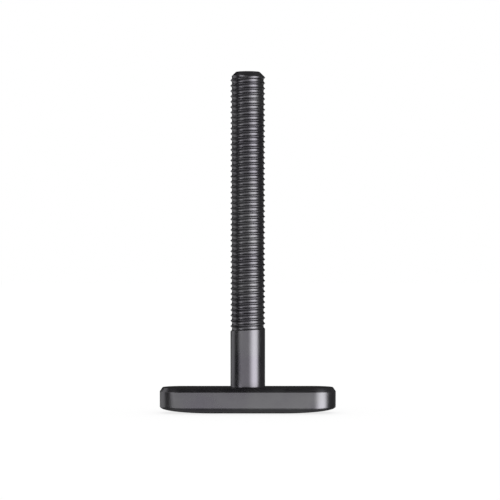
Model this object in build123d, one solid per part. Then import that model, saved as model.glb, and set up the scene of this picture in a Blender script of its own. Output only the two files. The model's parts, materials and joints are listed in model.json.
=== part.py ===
from build123d import *
import math
import os

# A T-slot bolt, forged and threaded as one piece. Its long head slides along a T-shaped
# slot, and the round shank rises from the middle of the head. The bolt stands on its head.
# Millimetres. The origin is the middle of the head's underside. X runs along the head,
# Y across it and Z up the shank.

# Shank: a half-inch coarse thread, measured over its crests, and the plain stretch below it.
shank_diameter = 12.66
shank_length = 115.3
point_chamfer = 1.95
root_fillet = 0.8

# Head: a flat bar with full-round ends and a bevel round its upper edge.
head_length = 64.4
head_width = 16.8
head_thickness = 9.4
bevel_inset = 1.0
bevel_drop = 1.5

# Crown of the underside: it rises from a flat middle to the foot of the side wall, in a
# curve that runs much further at the ends than at the sides. A fullness of 2 is a quarter
# of an ellipse, and a higher one stays lower for longer.
crown_height = 2.5
crown_end_run = 19.0
crown_side_run = 5.5
crown_fullness = 2.5
crown_sections = 16


def head_outline(inset_end, inset_side, height):
    """The head's plan at one height: a slot shape, drawn in at its ends and its sides."""
    outline = SlotOverall(head_length - 2 * inset_end, head_width - 2 * inset_side)
    return Plane.XY.offset(height) * outline


def crown():
    """The underside, lofted from its flat middle up to the foot of the side wall."""
    sections = []
    for step in range(crown_sections + 1):
        turn = math.radians(90 * step / crown_sections)
        depth = math.cos(turn)
        drawn_in = 1 - math.sqrt(1 - depth ** crown_fullness)
        height = crown_height * (1 - depth)
        sections.append(head_outline(crown_end_run * drawn_in, crown_side_run * drawn_in, height))
    return loft(sections)


def head():
    """The crown, the side wall on top of it and the bevelled upper edge."""
    wall_height = head_thickness - crown_height
    wall = extrude(head_outline(0, 0, crown_height), amount=wall_height)
    top = wall.faces().sort_by(Axis.Z)[-1]
    wall = chamfer(top.edges(), length=bevel_inset, length2=bevel_drop, reference=top)
    return crown() + wall


def shank():
    """A round bar on the head, with a 45 degree point at its free end."""
    foot = Plane.XY.offset(head_thickness)
    bar = extrude(foot * Circle(shank_diameter / 2), amount=shank_length)
    end = bar.faces().sort_by(Axis.Z)[-1]
    return chamfer(end.edges(), length=point_chamfer)


def t_slot_bolt():
    """Head and shank as one forging, with a small fillet where they meet."""
    bolt = head() + shank()
    shank_wall = bolt.faces().filter_by(GeomType.CYLINDER).sort_by(Axis.Z)[-1]
    corner = shank_wall.edges().sort_by(Axis.Z)[0]
    return fillet(corner, radius=root_fillet)


os.makedirs("parts", exist_ok=True)
export_step(t_slot_bolt(), "parts/t_slot_bolt.step")
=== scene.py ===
# %% [markdown]
# # A T slot bolt
#
# A T slot bolt is one forging of steel. A long flat head slides along a slot that is shaped
# like an upside-down T, and a threaded shank stands up through the slot's mouth. This lesson
# builds its whole skin as one surface, ring by ring, then gives it the finish of blackened
# steel and sets it in soft studio light.
#
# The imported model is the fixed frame. Everything is in its place and at its size, in metres.

# %% Load the frame
import json
import math

import bpy
import numpy as np
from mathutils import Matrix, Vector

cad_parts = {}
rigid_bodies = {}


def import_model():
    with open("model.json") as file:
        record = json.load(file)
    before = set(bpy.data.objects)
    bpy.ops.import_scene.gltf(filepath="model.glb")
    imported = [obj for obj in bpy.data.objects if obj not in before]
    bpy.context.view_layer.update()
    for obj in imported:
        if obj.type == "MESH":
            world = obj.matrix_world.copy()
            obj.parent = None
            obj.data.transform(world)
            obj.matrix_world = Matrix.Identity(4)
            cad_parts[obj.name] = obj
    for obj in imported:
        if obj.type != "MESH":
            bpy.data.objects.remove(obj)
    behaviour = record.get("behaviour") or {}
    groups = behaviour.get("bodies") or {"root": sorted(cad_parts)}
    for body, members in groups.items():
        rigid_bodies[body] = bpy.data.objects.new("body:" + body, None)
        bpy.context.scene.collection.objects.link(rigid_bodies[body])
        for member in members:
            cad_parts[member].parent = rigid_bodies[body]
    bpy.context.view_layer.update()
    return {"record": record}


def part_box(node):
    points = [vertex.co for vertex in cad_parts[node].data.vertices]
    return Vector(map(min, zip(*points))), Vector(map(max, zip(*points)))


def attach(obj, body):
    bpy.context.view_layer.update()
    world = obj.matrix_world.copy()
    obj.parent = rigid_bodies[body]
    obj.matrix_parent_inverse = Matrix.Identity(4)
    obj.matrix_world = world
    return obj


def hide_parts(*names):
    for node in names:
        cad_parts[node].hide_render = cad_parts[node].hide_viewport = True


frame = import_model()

# %% [markdown]
# ## Sizes
#
# The bolt has few driving sizes. The frame gives the head's length and width, the height of
# the free end, the radius over the thread's crests and the height of the head's top. The rest
# are the bevels, the crown of the underside and the thread, which the solid leaves out.

# %% Sizes from the frame
MM = 0.001
high = np.array(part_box("t_slot_bolt")[1])
mounts = {mount["name"]: mount for mount in frame["record"]["mounts"]}
half_length = high[0]
half_width = high[1]
free_end = high[2]
head_top = mounts["head_top"]["pos_m"][2]
crest_radius = mounts["shank"]["dims"]["r_mm"] * MM
print("head", 2 * half_length, "by", 2 * half_width, "by", head_top, "shank radius", crest_radius)

# %% Sizes of the head
bevel_inset = 1.0 * MM
bevel_drop = 1.5 * MM
crown_height = 2.5 * MM
crown_end_run = 19.0 * MM
crown_side_run = 5.5 * MM
crown_fullness = 2.5
edge_softness = 0.07 * MM
root_fillet = 0.5 * MM
print("bevel in mm:", round(bevel_inset / MM, 2), "in and", round(bevel_drop / MM, 2), "down")

# %% Sizes of the thread
pitch = 25.4 / 13 * MM
thread_depth = 0.53 * MM
crest_flat = 0.17 * MM
point_chamfer = 1.95 * MM
first_crest = 122.585 * MM
last_full_groove = 30.75 * MM
fade_length = pitch / 2
point_groove_stop = 1.5 * MM
point_fade_length = 0.3 * MM
print("thread pitch in mm:", round(pitch / MM, 4))

# %% [markdown]
# ## One skin, made of rings
#
# The surface is a stack of closed rings, all with the same number of points, so that each
# point has one neighbour in the ring above. It could be joined from a box, a cylinder and a
# screw, but then the head's top would need a cut for the shank. With rings the slot shape of
# the head flows into the circle of the shank on the flat top, where the change can't be seen.

# %% Columns of the rings
columns = 96
quarter = columns // 4
arc_columns = 16
knots = np.array([
    0, arc_columns, quarter, 2 * quarter - arc_columns, 2 * quarter,
    2 * quarter + arc_columns, 3 * quarter, 4 * quarter - arc_columns, 4 * quarter,
])
column = np.arange(columns)
slot_turn = np.radians(np.interp(column, knots, [0, 90, 90, 90, 180, 270, 270, 270, 360]))
slot_side = np.interp(column, knots, [1, 1, 0, -1, -1, -1, 0, 1, 1])
circle_turn = 2 * np.pi * column / columns
print(columns, "columns,", arc_columns, "of them on each quarter of an end")


# %% Rings
def stack(x, y, z):
    """Rows of rings from three arrays that stretch to the same rows by columns."""
    return np.stack(np.broadcast_arrays(x, y, z), axis=-1)


def slot_rings(end_inset, side_inset, height):
    """Slot shapes: x = side (L - W) + W cos(turn) and y = W sin(turn), where L and W are the
    half length and half width, drawn in by the insets, and side runs from 1 to -1 along the
    straights."""
    long = (half_length - np.asarray(end_inset))[:, None]
    wide = (half_width - np.asarray(side_inset))[:, None]
    x = slot_side * (long - wide) + wide * np.cos(slot_turn)
    y = wide * np.sin(slot_turn)
    return stack(x, y, np.asarray(height)[:, None])


def round_rings(radius, height):
    """Circles: x = r cos(turn), y = r sin(turn), at each radius and height."""
    radius = np.asarray(radius)[:, None]
    x = radius * np.cos(circle_turn)
    y = radius * np.sin(circle_turn)
    return stack(x, y, np.asarray(height)[:, None])


# %% [markdown]
# ## The head
#
# The underside is flat only in its middle and curves up to the side wall: steeply at the
# sides, and in a long sweep at the two ends. The wall stands upright and a bevel runs round
# its upper edge. Real edges are never perfectly sharp, so both corners of the bevel become
# tiny parabolas, which catch a line of light. A bevel modifier could round them too, but it
# would also find the corners of the thread.

# %% The crown of the underside
def crown_rings(rows):
    """From the flat middle to the foot of the wall. At a share d of the crown's height below
    the foot, the outline is drawn in by run (1 - sqrt(1 - d ^ fullness))."""
    depth = np.cos(np.linspace(0, np.pi / 2, rows))
    drawn_in = 1 - np.sqrt(1 - depth ** crown_fullness)
    return slot_rings(crown_end_run * drawn_in, crown_side_run * drawn_in, crown_height * (1 - depth))


def flat_rings(rows):
    """The flat of the underside, from its middle line out to the start of the crown."""
    share = np.linspace(1, 0, rows, endpoint=False)
    inset = share * (half_width - crown_side_run)
    return slot_rings(crown_end_run + inset, crown_side_run + inset, np.zeros(rows))


flat_rows = 4
crown_rows = 25
underside = np.concatenate([flat_rings(flat_rows), crown_rings(crown_rows)])
print("underside:", underside.shape[0], "rings")


# %% The wall and its bevel
def softened(corners, reach, steps=5):
    """A line through corners with each inner corner rounded: from reach before it to reach
    after it, the point is (1-t)^2 A + 2t(1-t) C + t^2 B."""
    before = corners[:-2]
    corner = corners[1:-1]
    after = corners[2:]
    towards = (before - corner) / np.linalg.norm(before - corner, axis=1, keepdims=True)
    onwards = (after - corner) / np.linalg.norm(after - corner, axis=1, keepdims=True)
    t = np.linspace(0, 1, steps)[None, :, None]
    start = (corner + reach * towards)[:, None]
    end = (corner + reach * onwards)[:, None]
    curve = (1 - t) ** 2 * start + 2 * t * (1 - t) * corner[:, None] + t ** 2 * end
    return np.concatenate([corners[:1], curve.reshape(-1, 2), corners[-1:]])


top_margin = 4 * edge_softness
wall_corners = np.array([
    [0, crown_height],
    [0, head_top - bevel_drop],
    [bevel_inset, head_top],
    [bevel_inset + top_margin, head_top],
])
wall_line = softened(wall_corners, edge_softness)[1:]
wall = slot_rings(wall_line[:, 0], wall_line[:, 0], wall_line[:, 1])
print("wall and bevel:", wall.shape[0], "rings")


# %% The top and the fillet at the foot of the shank
def top_rings(rows):
    """The flat top: each ring lies a share s of the way from the slot shape to a circle."""
    share = np.linspace(0, 1, rows)[1:-1, None, None]
    foot = round_rings([crest_radius + root_fillet], [head_top])
    return (1 - share) * wall[-1:] + share * foot


def fillet_rings(rows):
    """A quarter circle that turns from the head's top up into the shank's wall."""
    turn = np.linspace(0, np.pi / 2, rows)
    radius = crest_radius + root_fillet * (1 - np.sin(turn))
    height = head_top + root_fillet * (1 - np.cos(turn))
    return round_rings(radius, height)


top_rows = 7
fillet_rows = 7
plain_rows = 8
plain_end = last_full_groove - 1.5 * pitch
plain_heights = np.linspace(head_top + root_fillet, plain_end, plain_rows + 1)[1:]
plain = round_rings(np.full(plain_rows, crest_radius), plain_heights)
foot_of_shank = [top_rings(top_rows), fillet_rings(fillet_rows), plain]
body = np.concatenate([underside, wall] + foot_of_shank)
print("body:", body.shape[0], "rings up to the thread")

# %% [markdown]
# ## The thread
#
# A right-handed thread is one groove wound round the bar. A screw modifier could wind a
# profile, but its ends would be hard to fit to the bar and to the bevelled point. Here the
# rings themselves climb: every ring is tilted into a helix that gains one pitch in a turn, so
# its last point meets the first point of the ring one pitch further on. The groove has a
# hollow, rounded bottom between narrow crests, and each row of points follows one line of
# it, which keeps the crests crisp.

# %% The thread's profile
groove_width = pitch - crest_flat
groove_radius = (groove_width ** 2 / 4 + thread_depth ** 2) / (2 * thread_depth)
rows_per_pitch = 16
spare_turn = 1.1
sweep = math.asin(groove_width / 2 / groove_radius)
across = groove_radius * np.sin(np.linspace(-sweep, sweep, rows_per_pitch))
hollow = np.sqrt(groove_radius ** 2 - across ** 2) - (groove_radius - thread_depth)
print("groove radius in mm:", round(groove_radius / MM, 3))


# %% The helical grid
def smooth(share):
    """0 to 1 with a soft start and end: t t (3 - 2 t), with t = share kept within 0 to 1."""
    t = np.clip(share, 0, 1)
    return t * t * (3 - 2 * t)


def thread_surface():
    """Rows follow the groove. A row starts at w and climbs: z = w + pitch turn / 2 pi. Its
    radius is the crest's less the hollow, which fades out slowly at the lower end and quickly
    at the upper one, and no more than the bevelled point's, r = r_end + (z_end - z). The
    first rows lie too low and the last too high. Their heights are held at the thread's two
    ends, where the spare rows weld together."""
    below = math.ceil((first_crest - plain_end) / pitch + spare_turn) - 0.5
    lowest = first_crest - below * pitch
    turns = math.ceil((free_end - lowest) / pitch) + 2
    centre = lowest + pitch * np.arange(turns)
    start = (centre[:, None] + across).ravel()[:, None]
    groove = np.repeat(centre, rows_per_pitch)[:, None] + pitch * column / columns
    climb = start + pitch * column / columns
    height = np.clip(climb, plain_end, free_end)
    run_out = smooth((groove - last_full_groove) / fade_length + 1)
    stop = smooth((free_end - point_groove_stop - groove) / point_fade_length)
    depth = np.tile(hollow, turns)[:, None] * run_out * stop
    cone = crest_radius - point_chamfer + free_end - height
    radius = np.minimum(crest_radius - depth, cone)
    return stack(radius * np.cos(circle_turn), radius * np.sin(circle_turn), height)


thread = thread_surface()
print("thread:", thread.shape[0], "climbing rows of", thread.shape[1])

# %% The flat end
end_rows = 5
end_share = np.linspace(1, 0, end_rows)
end_radius = crest_radius - point_chamfer
end_face = round_rings(end_radius * end_share, np.full(end_rows, free_end))
print("end face:", end_rows, "rings")


# %% [markdown]
# ## From rings to a closed mesh
#
# Each patch of points becomes four-sided faces. Points that lie in the same place are then
# welded, which closes the middle line of the underside, both ends of the thread's helix and
# the centre of the end face, and joins the three patches into one shell.

# %% Faces
def ring_faces(rows, first, shift=0):
    """Quads between neighbouring rings. With a shift, a ring's last point meets the first
    point of the ring that many rows further on."""
    index = first + np.arange(rows * columns).reshape(rows, columns)
    beyond = index[shift:, :1]
    wide = np.concatenate([index[:rows - shift], beyond], axis=1)
    corners = [wide[:-1, :-1], wide[:-1, 1:], wide[1:, 1:], wide[1:, :-1]]
    return np.stack(corners, axis=-1).reshape(-1, 4)


weld_step = 1e-7


def welded(points, quads):
    """Merges points that share a place to 0.1 micrometre. A quad that keeps three different
    corners becomes a triangle, and one that keeps fewer is dropped."""
    places = np.round(points / weld_step).astype(np.int64)
    _, first, where = np.unique(places, axis=0, return_index=True, return_inverse=True)
    quads = where.reshape(-1)[quads]
    same = quads == np.roll(quads, -1, axis=1)
    count = same.sum(axis=1)
    gone = same[count == 1].argmax(axis=1)[:, None]
    triangles = np.take_along_axis(quads[count == 1], (gone + [1, 2, 3]) % 4, axis=1)
    return points[first], quads[count == 0], triangles


patches = [body, thread, end_face]
starts = np.cumsum([0] + [patch.shape[0] * columns for patch in patches])
points = np.concatenate([patch.reshape(-1, 3) for patch in patches])
quads = np.concatenate([
    ring_faces(body.shape[0], starts[0]),
    ring_faces(thread.shape[0], starts[1], rows_per_pitch),
    ring_faces(end_face.shape[0], starts[2]),
])
points, quads, triangles = welded(points, quads)
print(len(points), "points,", len(quads), "quads and", len(triangles), "triangles")

# %% The bolt
sharp_angle = math.radians(34)
mesh = bpy.data.meshes.new("threaded_bolt")
mesh.from_pydata(points.tolist(), [], quads.tolist() + triangles.tolist())
mesh.shade_smooth()
mesh.set_sharp_from_angle(angle=sharp_angle)
mesh.validate()
bolt = bpy.data.objects.new("threaded_bolt", mesh)
bpy.context.scene.collection.objects.link(bolt)
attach(bolt, "root")
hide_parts("t_slot_bolt")
print("bolt spans", [round(value, 5) for value in bolt.dimensions])

# %% [markdown]
# ## Blackened steel
#
# Black oxide is a thin dark skin grown on the steel itself. Here it reflects like a metal
# that gives back only about a sixth of the light, with a trace of violet. The skin is a
# little uneven, so its shade and its gloss wander slowly over the surface, and a fine tooth
# breaks up the mirror image. A painted texture could be wrapped round the bolt instead, but
# noise that fills space has no seam and needs no unwrapping, even on a thread.

# %% Helpers for materials
def new_material(name):
    """A material with an empty node tree, and a function that adds nodes to it."""
    material = bpy.data.materials.new(name)
    material.use_nodes = True
    tree = material.node_tree
    tree.nodes.clear()

    def add(kind, **settings):
        node = tree.nodes.new(kind)
        for key, value in settings.items():
            if key in node.inputs:
                node.inputs[key].default_value = value
            else:
                setattr(node, key, value)
        return node

    return material, tree.links.new, add


# %% The finish of the bolt
steel, link, add = new_material("black_oxide_steel")
place = add("ShaderNodeTexCoord")
blotch_scale = 75.0
tooth_scale = 2600.0
dark_oxide = (0.148, 0.141, 0.160, 1)
pale_oxide = (0.186, 0.184, 0.193, 1)
blotches = add("ShaderNodeTexNoise", Scale=blotch_scale, Detail=4.0, Roughness=0.5)
tooth = add("ShaderNodeTexNoise", Scale=tooth_scale, Detail=2.0, Roughness=0.5)
shade = add("ShaderNodeMix", data_type="RGBA")
shade.inputs["A"].default_value = dark_oxide
shade.inputs["B"].default_value = pale_oxide
spread = add("ShaderNodeMapRange")
spread.inputs["From Min"].default_value = 0.36
spread.inputs["From Max"].default_value = 0.64
gloss = add("ShaderNodeMapRange")
gloss.inputs["To Min"].default_value = 0.25
gloss.inputs["To Max"].default_value = 0.33
grain = add("ShaderNodeBump", Strength=0.05, Distance=0.00002)
surface = add("ShaderNodeBsdfPrincipled", Metallic=1.0)
output = add("ShaderNodeOutputMaterial")
link(place.outputs["Object"], blotches.inputs["Vector"])
link(place.outputs["Object"], tooth.inputs["Vector"])
link(blotches.outputs["Fac"], spread.inputs["Value"])
link(spread.outputs["Result"], shade.inputs["Factor"])
link(spread.outputs["Result"], gloss.inputs["Value"])
link(tooth.outputs["Fac"], grain.inputs["Height"])
link(shade.outputs["Result"], surface.inputs["Base Color"])
link(gloss.outputs["Result"], surface.inputs["Roughness"])
link(grain.outputs["Normal"], surface.inputs["Normal"])
link(surface.outputs["BSDF"], output.inputs["Surface"])
mesh.materials.append(steel)
print("finish:", steel.name, "on", bolt.name)

# %% [markdown]
# ## The studio
#
# Dark satin metal shows its surroundings more than its own colour, so its light is a plan of
# cards round the bolt, seen only in reflections. One big soft box stands at the right,
# brightest just below the level of its middle. A slim light stands at the left, a weaker one
# further round, and a low strip behind, which keeps the back from going quite black. Ahead
# and a little to the left a low window is left open to the white room. Dark cloth hides the
# rest of that room, which gives the round shank its dark edges. Lamps could light the bolt
# too, but a card's glow can fade across it, and the metal shows that fade.

# %% The world
world = bpy.data.worlds.new("white_room")
bpy.context.scene.world = world
world.use_nodes = True
nodes = world.node_tree.nodes
nodes.clear()
join = world.node_tree.links.new
ray = nodes.new("ShaderNodeLightPath")
camera_or_gloss = nodes.new("ShaderNodeMath")
camera_or_gloss.operation = "MAXIMUM"
seen = nodes.new("ShaderNodeMath")
seen.operation = "MAXIMUM"
backdrop_strength = 1.0
ambient_strength = 0.9
backdrop = nodes.new("ShaderNodeBackground")
backdrop.inputs["Strength"].default_value = backdrop_strength
ambient = nodes.new("ShaderNodeBackground")
ambient.inputs["Strength"].default_value = ambient_strength
choice = nodes.new("ShaderNodeMixShader")
sky = nodes.new("ShaderNodeOutputWorld")
for background in (backdrop, ambient):
    background.inputs["Color"].default_value = (1, 1, 1, 1)
join(ray.outputs["Is Camera Ray"], camera_or_gloss.inputs[0])
join(ray.outputs["Is Glossy Ray"], camera_or_gloss.inputs[1])
join(camera_or_gloss.outputs[0], seen.inputs[0])
join(ray.outputs["Is Transmission Ray"], seen.inputs[1])
join(seen.outputs[0], choice.inputs["Fac"])
join(ambient.outputs[0], choice.inputs[1])
join(backdrop.outputs[0], choice.inputs[2])
join(choice.outputs[0], sky.inputs["Surface"])
print("world:", world.name)

# %% [markdown]
# The floor is pale and plain. For the camera most of its brightness is its own, so that it
# runs into the white room without a line and still keeps a faint shadow under the head. It
# is left out of reflections, where the cards of the light plan stand below the bolt instead.

# %% The floor
floor_material, link, add = new_material("pale_floor")
own_light = 0.72
own_strength = 1.08
floor_colour = (0.92, 0.92, 0.92, 1)
matte = add("ShaderNodeBsdfDiffuse", Color=floor_colour)
lift = add("ShaderNodeEmission", Strength=own_strength)
floor_ray = add("ShaderNodeLightPath")
share = add("ShaderNodeMath", operation="MULTIPLY")
share.inputs[1].default_value = own_light
blend = add("ShaderNodeMixShader")
output = add("ShaderNodeOutputMaterial")
link(floor_ray.outputs["Is Camera Ray"], share.inputs[0])
link(share.outputs[0], blend.inputs["Fac"])
link(matte.outputs[0], blend.inputs[1])
link(lift.outputs[0], blend.inputs[2])
link(blend.outputs[0], output.inputs["Surface"])
floor_mesh = bpy.data.meshes.new("floor")
reach = 3.0
corners = [(-reach, -reach, 0), (reach, -reach, 0), (reach, reach, 0), (-reach, reach, 0)]
floor_mesh.from_pydata(corners, [], [(0, 1, 2, 3)])
floor_mesh.materials.append(floor_material)
floor = bpy.data.objects.new("floor", floor_mesh)
bpy.context.scene.collection.objects.link(floor)
floor.visible_glossy = False
print("floor:", 2 * reach, "m wide")

# %% A card of the light plan
card_distance = 2.0
card_centre = np.array([0, 0, 0.06])
card_columns = 49
card_rows = 25
plan = []


def card(name, azimuths, elevations, brightness, left=None, right=None):
    """A patch of a sphere round the bolt: x = R cos e sin a, y = -R cos e cos a, z = R sin e.
    Azimuth a is 0 in front and 90 at the right. It glows with its brightness. Where left or
    right is given, as a level and a span in degrees, the glow eases to that level there."""
    degrees = np.linspace(*azimuths, card_columns)
    azimuth = np.radians(degrees)[None, :]
    elevation = np.radians(np.linspace(*elevations, card_rows))[:, None]
    x = np.cos(elevation) * np.sin(azimuth)
    y = -np.cos(elevation) * np.cos(azimuth)
    patch = card_centre + card_distance * stack(x, y, np.sin(elevation))
    index = np.arange(card_rows * card_columns).reshape(card_rows, card_columns)
    faces = np.stack([index[:-1, :-1], index[:-1, 1:], index[1:, 1:], index[1:, :-1]], axis=-1)
    shape = bpy.data.meshes.new(name)
    shape.from_pydata(patch.reshape(-1, 3).tolist(), [], faces.reshape(-1, 4).tolist())
    glow = np.full(card_columns, brightness)
    if left:
        glow = left[0] + (glow - left[0]) * smooth((degrees - azimuths[0]) / left[1])
    if right:
        glow = right[0] + (glow - right[0]) * smooth((azimuths[1] - degrees) / right[1])
    values = shape.attributes.new("glow", "FLOAT", "POINT").data
    values.foreach_set("value", np.tile(glow, card_rows))
    paint, join_up, put = new_material(name)
    level = put("ShaderNodeAttribute", attribute_name="glow")
    light = put("ShaderNodeEmission")
    out = put("ShaderNodeOutputMaterial")
    join_up(level.outputs["Fac"], light.inputs["Strength"])
    join_up(light.outputs[0], out.inputs["Surface"])
    shape.materials.append(paint)
    board = bpy.data.objects.new(name, shape)
    bpy.context.scene.collection.objects.link(board)
    board.visible_camera = False
    board.visible_diffuse = False
    board.visible_shadow = False
    board.visible_transmission = False
    plan.append(name)


# %% Dark cloth
card("cloth_above_front", (-90, 90), (45, 90), 0.05)
card("cloth_above_rear", (90, 270), (45, 90), 0.15)
card("cloth_below", (-180, 180), (-90, -45), 0.22)
card("cloth_right", (80, 150), (-45, 45), 0.11)
card("cloth_rear_high", (150, 223), (-5, 45), 0.03)
card("cloth_rear_low", (150, 223), (-45, -22), 0.03)
card("cloth_left", (-98, -63), (-45, 45), 0.06)
card("cloth_far_left_low", (-137, -98), (-45, -20), 0.12)
card("cloth_far_left_high", (-137, -98), (36, 45), 0.06)
card("cloth_front_low", (-63, 6), (-45, -18), 0.16)
card("cloth_front_high", (-46, 2), (5, 45), 0.27)
card("cloth_window_side", (-63, -50), (-18, 0), 0.4)
cloth_count = len(plan)
print("cloths:", cloth_count)

# %% Lights
card("rear_strip", (150, 223), (-22, -5), 0.45)
card("soft_box_high", (2, 80), (0, 45), 2.6, left=(0.27, 40), right=(0.1, 23))
card("soft_box_middle", (4, 80), (-18, 0), 4.5, left=(1.0, 35), right=(0.1, 22))
card("soft_box_low", (6, 80), (-45, -18), 2.6, left=(0.16, 30), right=(0.1, 24))
card("slim_light", (-63, -46), (0, 45), 1.8)
card("far_left_light", (-137, -98), (-20, 36), 0.6)
print("lights:", len(plan) - cloth_count)

# %% [markdown]
# ## The camera
#
# The camera stands a little below half the bolt's height and looks level through a long
# lens. The sides of the shank stay nearly parallel, and a thin slice of the head's top shows.

# %% The camera
camera_distance = 0.805
camera_height = 0.05957
camera_offset = 0.00081
camera_data = bpy.data.cameras.new("camera")
camera_data.sensor_width = 36
camera_data.lens = 158.4
camera = bpy.data.objects.new("camera", camera_data)
camera.location = (camera_offset, -camera_distance, camera_height)
camera.rotation_euler = (math.radians(90), 0, 0)
bpy.context.scene.collection.objects.link(camera)
bpy.context.scene.camera = camera
bpy.context.scene.view_settings.view_transform = "Standard"
print("camera:", camera_distance, "m away with a lens of", round(camera_data.lens, 1), "mm")
